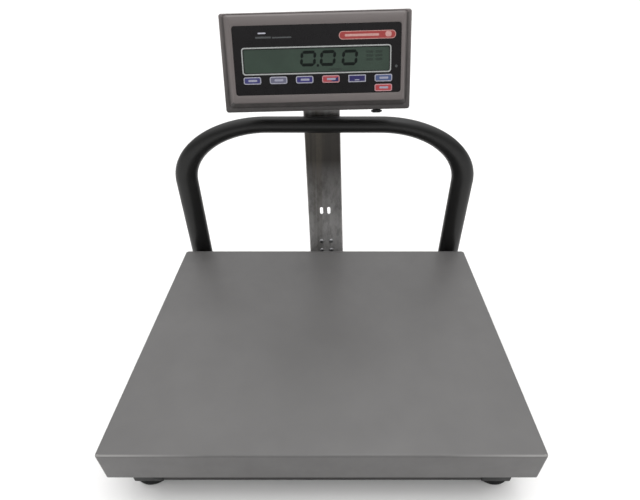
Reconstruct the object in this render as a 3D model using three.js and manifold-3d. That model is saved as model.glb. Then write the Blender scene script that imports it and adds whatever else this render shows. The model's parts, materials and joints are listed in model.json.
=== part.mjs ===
// Platform shipping scale: a folded-sheet pan on a single-point load cell, a tubular
// guard rail, and a channel column that carries a tilting indicator head.
// Millimetres. X runs to the right, Y to the back and Z up, with the floor at Z = 0.
// Inside the group named scale, X = Y = 0 is the middle of the pan.

import * as THREE from 'three';
import { mergeVertices } from 'three/addons/utils/BufferGeometryUtils.js';
import Module from 'manifold-3d';

const wasm = await Module();
wasm.setup();

// Driving dimensions
const gap = 0.3;
const pan = { width: 500, depth: 380, top: 102, skirt: 47, sheet: 1.5, corner: 3, bend: 2.5 };
const base = { halfWidth: 228, halfDepth: 178.5, railWidth: 35, beamWidth: 30, bottom: 26, top: 52, wall: 2 };
const rearBeam = { halfWidth: 246, front: 198, back: 230 };
const foot = { x: 218, y: 148.5, padRadius: 24, padHeight: 12, studRadius: 5, studTop: 62 };
const footCollar = { radius: 8.1, bottom: 14, top: 19 };
const stopBolt = { x: 218, shankRadius: 4, headRadius: 7, headBottom: 79 };
const cell = {
  halfWidth: 20, halfLength: 75, bottom: 47, top: 82, holeRadius: 11.5, holeY: 17, endLength: 33,
};
const cellBeam = { front: 30, back: 90, wall: 3 };
const spacerHalfWidth = 19;
const frame = { halfWidth: 232, halfDepth: 130, bar: 30, barInnerX: 20, bottom: 85, top: 98, wall: 2 };
const frameSeat = { front: -78, back: -38, thickness: 4 };
const bumper = { x: 200, radius: 9 };
const rail = { legX: 229, y: 212, top: 326.3, tube: 12.3, bendRadius: 96, widen: 1.48, bottom: 56.6 };
const railPlate = { x: 219, halfWidth: 27, front: 200, back: 228, boltX: 202 };
const railBolt = { shankRadius: 3, headRadius: 5.5, headHeight: 5, holeRadius: 3.4 };
const column = {
  x: 2.2, front: 228, width: 63.5, topWidth: 56.5, flange: 30, sheet: 2, bend: 4, bottom: 54.5, top: 392,
};
const slot = { dx: 6.5, z: 163, width: 5.4, height: 14.6, radius: 2.6 };
const columnScrews = [[-8.9, 97], [8.9, 97], [-8.9, 76], [8.9, 76]];
const screw = {
  shankRadius: 2.2, headRadius: 4, headHeight: 2.2, reach: 9, holeRadius: 2.7, clearRadius: 3.2,
};
const bracket = { halfWidth: 24.5, thickness: 3, bottom: 28, top: 112 };
const cable = { radius: 2.5, lowZ: 39, inColumn: 245 };
const mastLean = THREE.MathUtils.degToRad(1.4);
const mastPivotHeight = 85;
const head = {
  x: -0.8, y: 172, z: 425.6, width: 250, height: 122, depth: 36, front: 12, wall: 2.5, corner: 3.5,
};
const headTilt = THREE.MathUtils.degToRad(20);
const hinge = {
  x: column.x - head.x, depth: 50, earInner: 21.5, earOuter: 24.5, boreRadius: 3.3, pinRadius: 3,
};
const overlay = { x: 1.8, z: 1.6, width: 217, height: 83.2, front: -11.7, back: -10.9, corner: 3 };
const lcd = { x: 0.7, z: 1.2, width: 190, height: 29, corner: 2.5 };
const key = { firstX: -84.3, pitch: 34.45, rowZ: [-22.3, -34.3], width: 23, height: 9, corner: 1.8 };
const knob = { radius: 10.7, lobeHeight: 1.1, lobes: 6, steps: 48, length: 13 };
const rocker = { x: -80, y: 24, z: -53.5, turn: THREE.MathUtils.degToRad(200), halfWidth: 6, halfLength: 8 };
const jack = { x: 81, y: 8, radius: 5.7, bottom: -65.2, top: -46, socketRadius: 2.9 };
const board = { low: [12, 12, -38], high: [104, 13.6, 40] };
const battery = { low: [-100, 8, -40], high: [-5, 31, 10] };
const originY = 34;

// Geometry helpers

function toSolid(geometry) {
  const bare = new THREE.BufferGeometry();
  bare.setAttribute('position', geometry.getAttribute('position').clone());
  if (geometry.index) bare.setIndex(geometry.index.clone());
  const merged = mergeVertices(bare, 1e-4);
  const corners = merged.index.array;
  const triangles = [];
  for (let i = 0; i < corners.length; i += 3) {
    const [a, b, c] = corners.slice(i, i + 3);
    if (a !== b && b !== c && c !== a) triangles.push(a, b, c);
  }
  const vertProperties = new Float32Array(merged.getAttribute('position').array);
  const triVerts = new Uint32Array(triangles);
  return new wasm.Manifold(new wasm.Mesh({ numProp: 3, vertProperties, triVerts }));
}

function toGeometry(solid) {
  const mesh = solid.getMesh();
  const geometry = new THREE.BufferGeometry();
  geometry.setAttribute('position', new THREE.BufferAttribute(mesh.vertProperties, 3));
  geometry.setIndex(new THREE.BufferAttribute(mesh.triVerts, 1));
  return geometry;
}

// The union of the first list with everything in the second list cut away.
function carve(bodies, tools) {
  const union = bodies.map(toSolid).reduce((whole, piece) => whole.add(piece));
  return toGeometry(tools.map(toSolid).reduce((whole, tool) => whole.subtract(tool), union));
}

function block(low, high) {
  const size = high.map((value, i) => value - low[i]);
  const geometry = new THREE.BoxGeometry(...size);
  return geometry.translate(...low.map((value, i) => value + size[i] / 2));
}

function rod(radius, from, to, sides = 16) {
  const start = new THREE.Vector3(...from);
  const end = new THREE.Vector3(...to);
  const along = end.clone().sub(start);
  const geometry = new THREE.CylinderGeometry(radius, radius, along.length(), sides);
  const turn = new THREE.Quaternion();
  turn.setFromUnitVectors(new THREE.Vector3(0, 1, 0), along.clone().normalize());
  geometry.applyQuaternion(turn);
  return geometry.translate(...start.add(end).multiplyScalar(0.5).toArray());
}

function roundedRect(width, height, radius, x = 0, y = 0) {
  const right = x + width / 2;
  const top = y + height / 2;
  const left = right - width;
  const bottom = top - height;
  const shape = new THREE.Shape();
  shape.absarc(right - radius, bottom + radius, radius, -Math.PI / 2, 0);
  shape.absarc(right - radius, top - radius, radius, 0, Math.PI / 2);
  shape.absarc(left + radius, top - radius, radius, Math.PI / 2, Math.PI);
  shape.absarc(left + radius, bottom + radius, radius, Math.PI, Math.PI * 1.5);
  shape.closePath();
  return shape;
}

function prism(shape, from, to, curveSegments = 4) {
  const geometry = new THREE.ExtrudeGeometry(shape, { depth: to - from, bevelEnabled: false, curveSegments });
  return geometry.translate(0, 0, from);
}

// A flat plate facing the front: the shape's x and y become X and Z, between two depths.
function facePlate(shape, front, back, curveSegments = 4) {
  return prism(shape, -back, -front, curveSegments).rotateX(Math.PI / 2);
}

// Rounded rectangles of different sizes at different depths, skinned into one solid.
function loft(rings, cornerSteps = 4) {
  const positions = [];
  const index = [];
  const count = 4 * (cornerSteps + 1);
  for (const ring of rings) {
    for (let i = 0; i < count; i += 1) {
      const corner = Math.floor(i / (cornerSteps + 1));
      const angle = (corner + (i % (cornerSteps + 1)) / cornerSteps) * Math.PI / 2;
      const signX = corner === 0 || corner === 3 ? 1 : -1;
      const signZ = corner < 2 ? 1 : -1;
      const x = (ring.x ?? 0) + signX * (ring.width / 2 - ring.radius) + ring.radius * Math.cos(angle);
      const z = (ring.z ?? 0) + signZ * (ring.height / 2 - ring.radius) + ring.radius * Math.sin(angle);
      positions.push(x, ring.depth, z);
    }
  }
  for (let r = 0; r + 1 < rings.length; r += 1) {
    for (let i = 0; i < count; i += 1) {
      const a = r * count + i;
      const b = r * count + (i + 1) % count;
      index.push(a, a + count, b, b, a + count, b + count);
    }
  }
  const last = (rings.length - 1) * count;
  for (let i = 1; i + 1 < count; i += 1) {
    index.push(0, i, i + 1);
    index.push(last, last + i + 1, last + i);
  }
  const geometry = new THREE.BufferGeometry();
  geometry.setAttribute('position', new THREE.Float32BufferAttribute(positions, 3));
  geometry.setIndex(index);
  return geometry;
}

function paint(hex, roughness, metalness) {
  return () => new THREE.MeshStandardMaterial({ color: hex, roughness, metalness });
}

const greyPaint = paint(0x757372, 0.5, 0.3);
const blackPaint = paint(0x202020, 0.35, 0.2);
const basePaint = paint(0x2b2b2b, 0.55, 0.2);
const steel = paint(0x8a8988, 0.35, 0.9);
const zincSteel = paint(0xb4b6b8, 0.35, 0.9);
const aluminium = paint(0xc4c6c8, 0.4, 0.9);
const rubber = paint(0x1a1a1a, 0.85, 0);
const greyPlastic = paint(0x6f6b67, 0.6, 0);
const blackGloss = paint(0x171518, 0.25, 0);
const boardGreen = paint(0x1f5a34, 0.5, 0);
const displayGreen = paint(0x3c4b41, 0.3, 0);
const keyColours = [0x5c67a8, 0x6a6c86, 0x4a4aa6, 0x9c3a44, 0x22225e, 0x5670a4, 0xb0343a];

function addPart(parent, name, geometry, material) {
  const mesh = new THREE.Mesh(geometry, material());
  mesh.name = name;
  parent.add(mesh);
  return mesh;
}

const sides = [['left', -1], ['right', 1]];
const corners = [['fl', -1, -1], ['fr', 1, -1], ['rl', -1, 1], ['rr', 1, 1]];

// Base weldment: rectangular tubes with open ends

function tubeAlongY(x0, x1, y0, y1, z0, z1, wall) {
  const hollow = block([x0 + wall, y0 - 1, z0 + wall], [x1 - wall, y1 + 1, z1 - wall]);
  return [block([x0, y0, z0], [x1, y1, z1]), hollow];
}

function tubeAlongX(x0, x1, y0, y1, z0, z1, wall) {
  const hollow = block([x0 - 1, y0 + wall, z0 + wall], [x1 + 1, y1 - wall, z1 - wall]);
  return [block([x0, y0, z0], [x1, y1, z1]), hollow];
}

function addSideRails(parent) {
  const back = rearBeam.front - gap;
  const nutHalf = 9;
  const over = 1;
  for (const [side, sign] of sides) {
    const outer = sign * base.halfWidth;
    const inner = sign * (base.halfWidth - base.railWidth);
    const low = Math.min(outer, inner);
    const high = Math.max(outer, inner);
    const tube = tubeAlongY(low, high, -base.halfDepth, back, base.bottom, base.top, base.wall);
    const shell = carve([tube[0]], [tube[1]]);
    const nuts = [-foot.y, foot.y].map((y) => block(
      [sign * foot.x - nutHalf, y - nutHalf, base.bottom + base.wall / 2],
      [sign * foot.x + nutHalf, y + nutHalf, base.top - base.wall / 2],
    ));
    const bores = [-foot.y, foot.y].map((y) => rod(
      foot.studRadius + gap,
      [sign * foot.x, y, base.bottom - over],
      [sign * foot.x, y, base.top + over],
    ));
    addPart(parent, `base_rail_${side}`, carve([shell, ...nuts], bores), basePaint);
  }
}

function addCrossBeams(parent) {
  const reach = base.halfWidth - base.railWidth - gap;
  const frontY = -base.halfDepth;
  const front = tubeAlongX(-reach, reach, frontY, frontY + base.beamWidth, base.bottom, base.top, base.wall);
  addPart(parent, 'base_beam_front', carve([front[0]], [front[1]]), basePaint);

  const { halfWidth, front: y0, back: y1 } = rearBeam;
  const rear = tubeAlongX(-halfWidth, halfWidth, y0, y1, base.bottom, base.top, base.wall);
  const cableHole = rod(2 * cable.radius, [column.x, y0 - 1, cable.lowZ], [column.x, y1 + 1, cable.lowZ]);
  addPart(parent, 'base_beam_rear', carve([rear[0]], [rear[1], cableHole]), basePaint);

  const top = cell.bottom - cellBeam.wall;
  const channel = block([-reach, cellBeam.front, base.bottom], [reach, cellBeam.back, top]);
  const underside = block(
    [-reach - 1, cellBeam.front + cellBeam.wall, base.bottom - 1],
    [reach + 1, cellBeam.back - cellBeam.wall, top - cellBeam.wall],
  );
  addPart(parent, 'cell_beam', carve([channel], [underside]), basePaint);
}

// Levelling feet: a rubber pad, and a stud with a hexagon collar that turns in it

function footPad() {
  const { padRadius, padHeight, studRadius } = foot;
  const socket = studRadius + 0.6;
  const profile = [
    [0, 0], [padRadius - 1.5, 0], [padRadius, 1.5], [padRadius, 4.5], [padRadius - 4, 8],
    [padRadius - 10, padHeight], [socket, padHeight], [socket, 5], [0, 5],
  ];
  return new THREE.LatheGeometry(profile.map((p) => new THREE.Vector2(...p)), 24).rotateX(Math.PI / 2);
}

function footStud() {
  const ball = rod(foot.studRadius, [0, 0, 5 + gap], [0, 0, footCollar.bottom + 1]);
  const collar = rod(footCollar.radius, [0, 0, footCollar.bottom], [0, 0, footCollar.top], 6);
  const thread = rod(foot.studRadius - 0.05, [0, 0, footCollar.top - 1], [0, 0, foot.studTop]);
  return carve([ball, collar, thread], []);
}

function addFeet(parent) {
  for (const [corner, signX, signY] of corners) {
    const pad = addPart(parent, `foot_pad_${corner}`, footPad(), rubber);
    const stud = addPart(parent, `foot_stud_${corner}`, footStud(), zincSteel);
    pad.position.set(signX * foot.x, signY * foot.y, 0);
    stud.position.copy(pad.position);
  }
}

// Weighing train: load cell between two spacers, platform frame on its free end

function addLoadCell(parent) {
  const { halfWidth, halfLength, bottom, top, holeRadius, holeY } = cell;
  const middle = (bottom + top) / 2;
  const beyond = halfWidth + 1;
  const slitHalf = 5;
  const body = block([-halfWidth, -halfLength, bottom], [halfWidth, halfLength, top]);
  const window = [
    rod(holeRadius, [-beyond, -holeY, middle], [beyond, -holeY, middle], 24),
    rod(holeRadius, [-beyond, holeY, middle], [beyond, holeY, middle], 24),
    block([-beyond, -holeY, middle - slitHalf], [beyond, holeY, middle + slitHalf]),
  ];
  addPart(parent, 'load_cell', carve([body], window), aluminium);

  const inner = halfLength - cell.endLength;
  const outer = halfLength - 1;
  const x = spacerHalfWidth;
  const lower = block([-x, inner, bottom - cellBeam.wall + gap], [x, outer, bottom - gap]);
  const upper = block([-x, -outer, top + gap], [x, -inner, frame.bottom - gap]);
  addPart(parent, 'cell_spacer_lower', lower, zincSteel);
  addPart(parent, 'cell_spacer_upper', upper, zincSteel);
}

function addPlatformFrame(parent) {
  const { halfWidth, halfDepth, bar, barInnerX, bottom, top, wall } = frame;
  const inner = halfDepth - bar;
  const barOuterX = barInnerX + bar;
  const tubes = [
    tubeAlongX(-halfWidth, halfWidth, -halfDepth, -inner, bottom, top, wall),
    tubeAlongX(-halfWidth, halfWidth, inner, halfDepth, bottom, top, wall),
    tubeAlongY(-barOuterX, -barInnerX, -halfDepth, halfDepth, bottom, top, wall),
    tubeAlongY(barInnerX, barOuterX, -halfDepth, halfDepth, bottom, top, wall),
  ];
  const { front, back, thickness } = frameSeat;
  const seat = block([-barInnerX - 1, front, bottom], [barInnerX + 1, back, bottom + thickness]);
  const geometry = carve([...tubes.map((t) => t[0]), seat], tubes.map((t) => t[1]));
  addPart(parent, 'platform_frame', geometry, basePaint);
}

function addSupports(parent) {
  const barY = frame.halfDepth - frame.bar / 2;
  for (const [corner, signX, signY] of corners) {
    const shank = rod(stopBolt.shankRadius, [0, 0, base.top + gap], [0, 0, stopBolt.headBottom]);
    const bolt = rod(stopBolt.headRadius, [0, 0, stopBolt.headBottom - 0.5], [0, 0, frame.bottom - 1], 6);
    const stop = addPart(parent, `overload_stop_${corner}`, carve([shank, bolt], []), zincSteel);
    stop.position.set(signX * stopBolt.x, signY * barY, 0);

    const button = rod(bumper.radius, [0, 0, frame.top + gap], [0, 0, pan.top - pan.sheet - gap], 20);
    const pad = addPart(parent, `pan_bumper_${corner}`, button, rubber);
    pad.position.set(signX * bumper.x, signY * barY, 0);
  }
}

// Pan: one folded sheet, open below

function panBody(inset, topHeight, bottomHeight, bend) {
  const width = pan.width - 2 * inset - 2 * bend;
  const depth = pan.depth - 2 * inset - 2 * bend;
  const shape = roundedRect(width, depth, pan.corner - inset * 0.5);
  const options = { depth: topHeight - bottomHeight - bend, curveSegments: 3 };
  options.bevelEnabled = bend > 0;
  options.bevelSize = bend;
  options.bevelThickness = bend;
  options.bevelSegments = 3;
  return new THREE.ExtrudeGeometry(shape, options).translate(0, 0, bottomHeight);
}

function addPan(parent) {
  const bottom = pan.top - pan.skirt;
  const outer = panBody(0, pan.top, bottom - 10, pan.bend);
  const inner = panBody(pan.sheet, pan.top - pan.sheet, bottom - 30, pan.bend - pan.sheet);
  const below = block([-pan.width, -pan.depth, bottom - 60], [pan.width, pan.depth, bottom]);
  addPart(parent, 'pan', carve([outer], [inner, below]), greyPaint);
}

// Guard rail: a tube bent into an arch, standing on two plates on the rear beam

class ArchCurve extends THREE.Curve {
  getPoint(t, target = new THREE.Vector3()) {
    const legX = rail.legX / rail.widen;
    const legLength = rail.top - rail.bendRadius - rail.bottom;
    const arcLength = rail.bendRadius * Math.PI / 2;
    const topLength = 2 * (legX - rail.bendRadius);
    const s = t * (2 * legLength + 2 * arcLength + topLength);
    const half = legLength + arcLength + topLength / 2;
    const side = s < half ? -1 : 1;
    const d = s < half ? s : 2 * half - s;
    if (d <= legLength) return target.set(side * legX, rail.y, rail.bottom + d);
    if (d <= legLength + arcLength) {
      const angle = (d - legLength) / rail.bendRadius;
      const x = legX - rail.bendRadius * (1 - Math.cos(angle));
      return target.set(side * x, rail.y, rail.top - rail.bendRadius * (1 - Math.sin(angle)));
    }
    return target.set(side * (half - d), rail.y, rail.top);
  }
}

function addGuardRail(parent) {
  const section = new THREE.Shape();
  section.absarc(0, 0, rail.tube, 0, Math.PI * 2);
  const options = { steps: 52, curveSegments: 8, bevelEnabled: false, extrudePath: new ArchCurve() };
  const tube = new THREE.ExtrudeGeometry(section, options).scale(rail.widen, 1, 1);
  addPart(parent, 'guard_rail', tube, blackPaint);

  const plateTop = rail.bottom - gap;
  for (const [side, sign] of sides) {
    const { x, halfWidth, front, back } = railPlate;
    const boltX = sign * railPlate.boltX;
    const plate = block([-halfWidth, front, base.top + gap], [halfWidth, back, plateTop]);
    plate.translate(sign * x, 0, 0);
    const hole = rod(railBolt.holeRadius, [boltX, rail.y, base.top], [boltX, rail.y, plateTop + 1]);
    addPart(parent, `rail_foot_${side}`, carve([plate], [hole]), blackPaint);

    const { shankRadius, headRadius, headHeight } = railBolt;
    const shank = rod(shankRadius, [boltX, rail.y, base.top + gap], [boltX, rail.y, plateTop + 1]);
    const cap = rod(headRadius, [boltX, rail.y, plateTop + gap], [boltX, rail.y, plateTop + headHeight], 6);
    addPart(parent, `rail_bolt_${side}`, carve([shank, cap], []), zincSteel);
  }
}

// Mast: everything that shares the column's slight lean to the left

function addMast(parent) {
  const lean = new THREE.Group();
  lean.position.set(column.x, 0, mastPivotHeight);
  lean.rotation.y = -mastLean;
  parent.add(lean);
  const mast = new THREE.Group();
  mast.position.set(-column.x, 0, -mastPivotHeight);
  lean.add(mast);
  return mast;
}

function channelShape(width, flange, sheet, bend) {
  const half = width / 2;
  const inner = half - sheet;
  const fold = bend - sheet;
  const shape = new THREE.Shape();
  shape.absarc(half - bend, bend, bend, 0, -Math.PI / 2, true);
  shape.absarc(bend - half, bend, bend, -Math.PI / 2, -Math.PI, true);
  shape.lineTo(-half, flange);
  shape.lineTo(-inner, flange);
  shape.absarc(fold - inner, bend, fold, -Math.PI, -Math.PI / 2);
  shape.absarc(inner - fold, bend, fold, -Math.PI / 2, 0);
  shape.lineTo(inner, flange);
  shape.lineTo(half, flange);
  shape.closePath();
  return shape;
}

// Narrows a channel evenly from its lower end to its upper end.
function taper(geometry, low, high, narrowing) {
  const position = geometry.getAttribute('position');
  for (let i = 0; i < position.count; i += 1) {
    const share = (position.getZ(i) - low) / (high - low);
    const x = position.getX(i);
    position.setX(i, x - Math.sign(x) * share * narrowing / 2);
  }
  return geometry;
}

function addColumn(mast, parent) {
  const { x, front, width, topWidth, flange, sheet, bend, bottom, top } = column;
  const straight = prism(channelShape(width, flange, sheet, bend), bottom, top);
  const channel = taper(straight, bottom, top, width - topWidth).translate(x, front, 0);
  const through = [front - 1, front + sheet + 1];
  const slots = [-slot.dx, slot.dx].map((dx) => {
    return facePlate(roundedRect(slot.width, slot.height, slot.radius, x + dx, slot.z), ...through);
  });
  const holes = columnScrews.map(([dx, z]) => {
    return rod(screw.holeRadius, [x + dx, through[0], z], [x + dx, through[1], z]);
  });
  addPart(mast, 'column', carve([channel], [...slots, ...holes]), steel);

  const plateFront = front + sheet + gap;
  const { halfWidth, thickness } = bracket;
  const low = [x - halfWidth, plateFront, bracket.bottom];
  const plate = block(low, [x + halfWidth, plateFront + thickness, bracket.top]);
  const cableHole = rod(6.5, [x, front, cable.lowZ + 1], [x, front + 10, cable.lowZ + 1]);
  const clearance = columnScrews.map(([dx, z]) => {
    return rod(screw.clearRadius, [x + dx, front, z], [x + dx, front + 10, z]);
  });
  addPart(parent, 'column_bracket', carve([plate], [cableHole, ...clearance]), basePaint);

  columnScrews.forEach(([dx, z], i) => {
    const { shankRadius, headRadius, headHeight, reach } = screw;
    const shank = rod(shankRadius, [x + dx, front - gap - 1, z], [x + dx, front + reach, z], 12);
    const cap = rod(headRadius, [x + dx, front - gap - headHeight, z], [x + dx, front - gap, z]);
    addPart(mast, `column_screw_${i + 1}`, carve([shank, cap], []), zincSteel);
  });
}

// The signal cable, held all the way: load cell, rear beam, column, head

function columnCentre(z) {
  return column.x - Math.tan(mastLean) * (z - mastPivotHeight);
}

function addCable(parent) {
  const hingeY = head.y + hinge.depth * Math.cos(headTilt);
  const hingeZ = head.z - hinge.depth * Math.sin(headTilt);
  const { inColumn, lowZ } = cable;
  const points = [
    [0, cell.halfLength + gap, 64.5], [0, 90, 63.5], [0, 106, 54], [0.5, 122, 43], [1, 140, lowZ],
    [2, 170, lowZ],
    [column.x, 200, lowZ], [column.x, 226, lowZ], [column.x, 238, 44], [column.x, inColumn, 58],
    [columnCentre(85), inColumn, 85], [columnCentre(160), inColumn, 160], [columnCentre(240), inColumn, 240],
    [columnCentre(320), inColumn, 320], [columnCentre(376), inColumn, 376], [columnCentre(396), 241, 396],
    [columnCentre(406), 231, 406], [columnCentre(hingeZ), hingeY + 2.5, hingeZ],
  ];
  const route = new THREE.CatmullRomCurve3(points.map((p) => new THREE.Vector3(...p)), false, 'centripetal');
  const section = new THREE.Shape();
  section.absarc(0, 0, cable.radius, 0, Math.PI * 2);
  const options = { steps: 60, curveSegments: 4, bevelEnabled: false, extrudePath: route };
  addPart(parent, 'cell_cable', new THREE.ExtrudeGeometry(section, options), rubber);
}

// Yoke on top of the column

function addTiltBracket(mast) {
  const { x, front, sheet, top } = column;
  const hingeY = head.y + hinge.depth * Math.cos(headTilt);
  const hingeZ = head.z - hinge.depth * Math.sin(headTilt);
  const plateFront = front + sheet + gap;
  const plateBack = plateFront + bracket.thickness;
  const ears = [];
  for (const [, sign] of sides) {
    const a = x + sign * hinge.earInner;
    const b = x + sign * hinge.earOuter;
    ears.push(block([Math.min(a, b), hingeY, hingeZ - 10], [Math.max(a, b), plateBack, hingeZ + 10]));
    ears.push(rod(10, [a, hingeY, hingeZ], [b, hingeY, hingeZ], 24));
  }
  const plateLow = [x - hinge.earOuter, plateFront, top - 60];
  const plate = block(plateLow, [x + hinge.earOuter, plateBack, hingeZ + 10]);
  const reach = hinge.earOuter + 5;
  const bore = rod(hinge.boreRadius, [x - reach, hingeY, hingeZ], [x + reach, hingeY, hingeZ]);
  const notch = block([x - 10, plateFront - 1, top + 1], [x + 10, plateBack + 1, hingeZ + 11]);
  addPart(mast, 'tilt_bracket', carve([plate, ...ears], [bore, notch]), steel);

  const outline = [];
  for (let i = 0; i < knob.steps; i += 1) {
    const angle = i / knob.steps * Math.PI * 2;
    const radius = knob.radius + knob.lobeHeight * Math.cos(knob.lobes * angle);
    outline.push(new THREE.Vector2(radius * Math.cos(angle), radius * Math.sin(angle)));
  }
  const grip = new THREE.Shape(outline);
  const knobStart = x + hinge.earOuter + gap;
  const body = prism(grip, 0, knob.length).rotateY(Math.PI / 2).translate(knobStart, hingeY, hingeZ);
  const stud = rod(hinge.pinRadius, [x + 12, hingeY, hingeZ], [knobStart + 2, hingeY, hingeZ]);
  addPart(mast, 'tilt_knob', carve([body, stud], []), rubber);
}

// Indicator head, in its own frame: X right, Y into the head, Z up the face; Y = 0 at the seam

function addHead(mast) {
  const group = new THREE.Group();
  group.position.set(head.x, head.y, head.z);
  group.rotation.x = -headTilt;
  mast.add(group);
  return group;
}

const bezelRings = [
  { depth: -head.front, width: 229.6, height: 104, radius: 4, z: 2.6 },
  { depth: -head.front + 0.9, width: 231.4, height: 105.8, radius: 4.6, z: 2.5 },
  { depth: -0.8, width: 249.4, height: 121.4, radius: head.corner, z: 0.1 },
  { depth: 0, width: head.width, height: head.height, radius: head.corner },
];

const shellRings = [
  { depth: gap, width: head.width, height: head.height, radius: head.corner },
  { depth: 3, width: head.width, height: head.height, radius: head.corner },
  { depth: head.depth - 2, width: 228, height: 99, radius: 10 },
  { depth: head.depth, width: 223, height: 94, radius: 9 },
];

function insetRings(rings, wall, firstDepth, lastDepth) {
  const inset = rings.map((ring) => {
    const radius = Math.max(ring.radius - wall, 1.5);
    return { ...ring, radius, width: ring.width - 2 * wall, height: ring.height - 2 * wall };
  });
  inset[0].depth = firstDepth;
  inset[inset.length - 1].depth = lastDepth;
  return inset;
}

const keys = [];
for (let i = 0; i < 6; i += 1) keys.push({ x: key.firstX + i * key.pitch, z: key.rowZ[0] });
keys.push({ x: keys[5].x, z: key.rowZ[1] });

function keyShape({ x, z }, grow) {
  return roundedRect(key.width + grow, key.height + grow, key.corner, x, z);
}

function addFrontBezel(group) {
  const { wall } = head;
  const outer = loft(bezelRings);
  const inner = loft(insetRings(bezelRings, wall, -head.front + wall, 1));
  const recess = roundedRect(overlay.width + 0.8, overlay.height + 0.8, overlay.corner, overlay.x, overlay.z);
  const window = roundedRect(lcd.width + 1, lcd.height + 1, lcd.corner, lcd.x, lcd.z);
  const cuts = [inner, facePlate(recess, -head.front - 1, -10.7), facePlate(window, -11, -9)];
  keys.forEach((place) => cuts.push(facePlate(keyShape(place, 0.6), -11, -9)));
  addPart(group, 'front_bezel', carve([outer], cuts), greyPlastic);
}

function addRearShell(group) {
  const lugs = [];
  for (const [, sign] of sides) {
    const a = hinge.x + sign * 11;
    const b = hinge.x + sign * 21;
    const back = hinge.depth;
    lugs.push(block([Math.min(a, b), head.depth - 1, -8], [Math.max(a, b), back, 8]));
    lugs.push(rod(8, [a, back, 0], [b, back, 0], 20));
  }
  const hollow = loft(insetRings(shellRings, head.wall, -1, head.depth - head.wall));
  const bore = rod(hinge.boreRadius, [hinge.x - 30, hinge.depth, 0], [hinge.x + 30, hinge.depth, 0]);
  const glandHole = rod(5.3, [hinge.x, 30, 0], [hinge.x, 40, 0]);
  const jackHole = rod(jack.radius + gap, [jack.x, jack.y, -70], [jack.x, jack.y, -50]);
  const rockerHole = block([-rocker.halfWidth - 0.8, -9, -5], [rocker.halfWidth + 0.8, 9, 5]);
  rockerHole.rotateX(rocker.turn).translate(rocker.x, rocker.y, rocker.z);
  const cuts = [hollow, bore, glandHole, jackHole, rockerHole];
  addPart(group, 'rear_shell', carve([loft(shellRings), ...lugs], cuts), greyPlastic);
}

function addFace(group) {
  const sheet = roundedRect(overlay.width, overlay.height, overlay.corner, overlay.x, overlay.z);
  const window = facePlate(roundedRect(lcd.width, lcd.height, lcd.corner, lcd.x, lcd.z), -13, -9);
  const holes = keys.map((place) => facePlate(keyShape(place, 0.6), -13, -9));
  const film = facePlate(sheet, overlay.front, overlay.back);
  addPart(group, 'overlay', carve([film], [window, ...holes]), blackGloss);

  const ring = facePlate(roundedRect(lcd.width + 4.4, lcd.height + 4.4, 4, lcd.x, lcd.z), -12, -11.8);
  const ringHole = facePlate(roundedRect(lcd.width + 1.2, lcd.height + 1.2, 2.6, lcd.x, lcd.z), -13, -11);
  addPart(group, 'window_trim', carve([ring], [ringHole]), zincSteel);

  const glass = roundedRect(lcd.width - 0.6, lcd.height - 0.6, 2.2, lcd.x, lcd.z);
  addPart(group, 'display', facePlate(glass, -11.2, -3), displayGreen);
}

function addKeys(group) {
  keys.forEach((place, i) => {
    const cap = facePlate(keyShape(place, 0), -12.2, -9.8);
    addPart(group, `key_${i + 1}`, cap, paint(keyColours[i], 0.4, 0));
  });
}

function addInside(group) {
  addPart(group, 'main_board', block(board.low, board.high), boardGreen);
  addPart(group, 'battery', block(battery.low, battery.high), blackGloss);

  const gland = rod(5, [hinge.x, 31, 0], [hinge.x, hinge.depth - 6.5, 0], 20);
  const passage = rod(2.9, [hinge.x, 30, 0], [hinge.x, hinge.depth, 0], 12);
  addPart(group, 'cable_gland', carve([gland], [passage]), rubber);

  const { x, y, bottom, top } = jack;
  const barrel = rod(jack.radius, [x, y, bottom], [x, y, top], 20);
  const socket = rod(jack.socketRadius, [x, y, bottom - 1], [x, y, bottom + 11], 12);
  addPart(group, 'charger_jack', carve([barrel], [socket]), rubber);
}

function addPivotScrew(group) {
  const outside = hinge.x - hinge.earOuter - gap;
  const shank = rod(hinge.pinRadius, [outside - 1, hinge.depth, 0], [hinge.x - 12, hinge.depth, 0]);
  const cap = rod(6, [outside - 4.5, hinge.depth, 0], [outside, hinge.depth, 0], 6);
  addPart(group, 'pivot_screw', carve([shank, cap], []), zincSteel);
}

function addPowerSwitch(group) {
  const profile = new THREE.Shape();
  const { halfWidth, halfLength } = rocker;
  profile.moveTo(-halfLength, -3);
  profile.lineTo(halfLength, -3);
  profile.lineTo(halfLength, 3.8);
  profile.lineTo(0, 1.6);
  profile.lineTo(-halfLength, 1);
  profile.closePath();
  const rockerBody = prism(profile, -halfWidth, halfWidth).rotateX(Math.PI / 2).rotateZ(Math.PI / 2);
  const mesh = addPart(group, 'power_switch', rockerBody, rubber);
  mesh.position.set(rocker.x, rocker.y, rocker.z);
  mesh.rotation.x = rocker.turn;
}

const scale = new THREE.Group();
scale.name = 'scale';
scale.position.y = -originY;
addSideRails(scale);
addCrossBeams(scale);
addFeet(scale);
addLoadCell(scale);
addPlatformFrame(scale);
addSupports(scale);
addPan(scale);
addGuardRail(scale);

const mastGroup = addMast(scale);
addColumn(mastGroup, scale);
addCable(scale);
addTiltBracket(mastGroup);

const headGroup = addHead(mastGroup);
addFrontBezel(headGroup);
addRearShell(headGroup);
addFace(headGroup);
addKeys(headGroup);
addInside(headGroup);
addPivotScrew(headGroup);
addPowerSwitch(headGroup);

export default scale;
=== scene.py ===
import json
import math

import bmesh
import bpy
from mathutils import Matrix, Vector


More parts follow.
